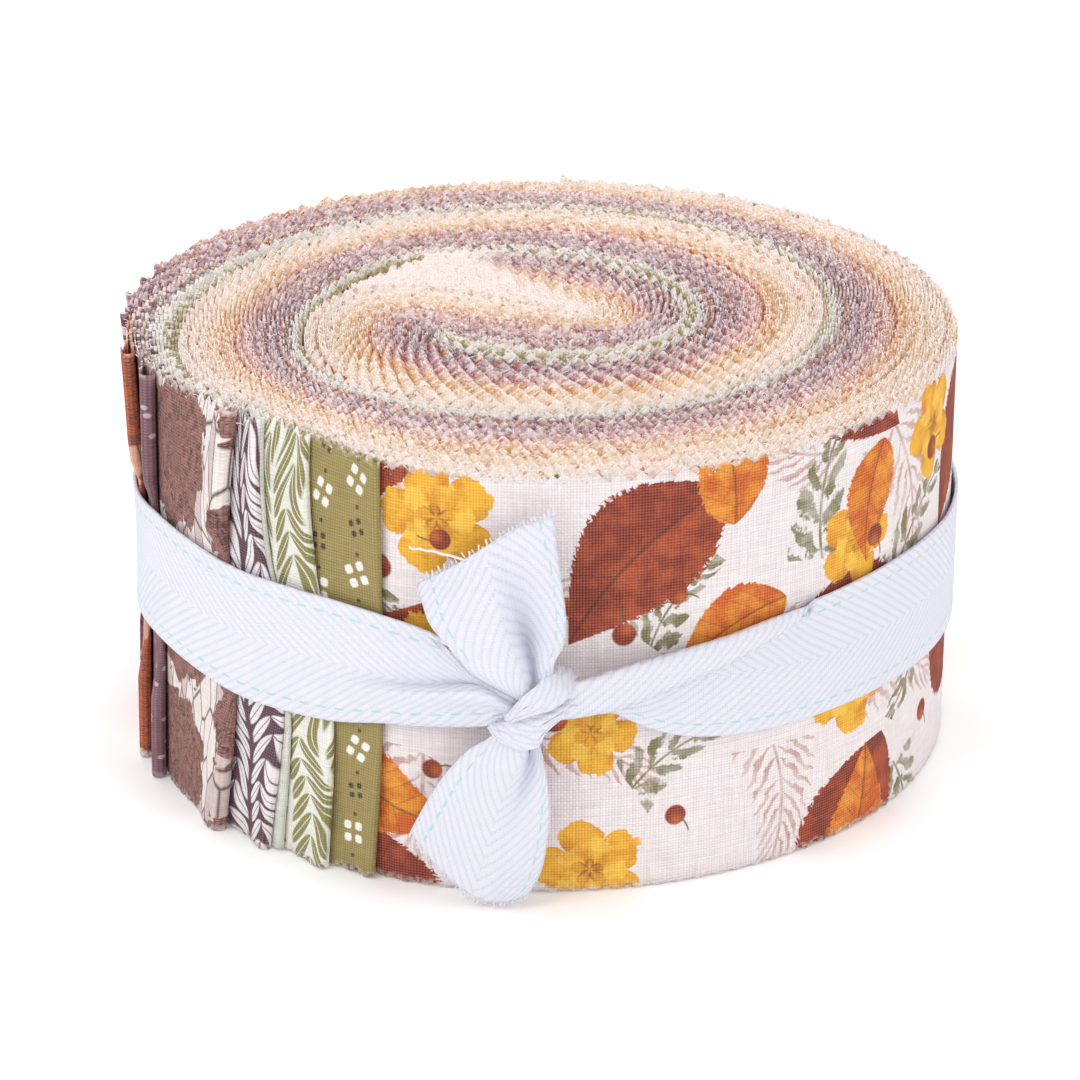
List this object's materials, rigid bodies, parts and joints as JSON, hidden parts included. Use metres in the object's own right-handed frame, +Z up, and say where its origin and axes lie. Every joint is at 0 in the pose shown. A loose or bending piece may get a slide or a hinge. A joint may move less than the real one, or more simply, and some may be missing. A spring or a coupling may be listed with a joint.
{
  "type": "fabric strip roll",
  "caption": "Rolled stack of narrow pinked cotton quilting strips, standing on its end and tied round with a white twill tape knotted at the front.",
  "frame": {"origin": "where the roll's axis meets the surface it stands on", "axes": "+Z up along the roll's axis, -Y towards the knot at the front, +X to the right as the knot is faced"},
  "size_m": [0.1266, 0.1341, 0.0635],
  "materials": {
    "quilting_cotton": "plain-woven printed cotton, matt",
    "twill_tape": "herringbone-woven cotton tape, matt"
  },
  "bodies": {
    "root": {"roll": "quilting_cotton", "tape": "twill_tape"}
  },
  "joints": []
}
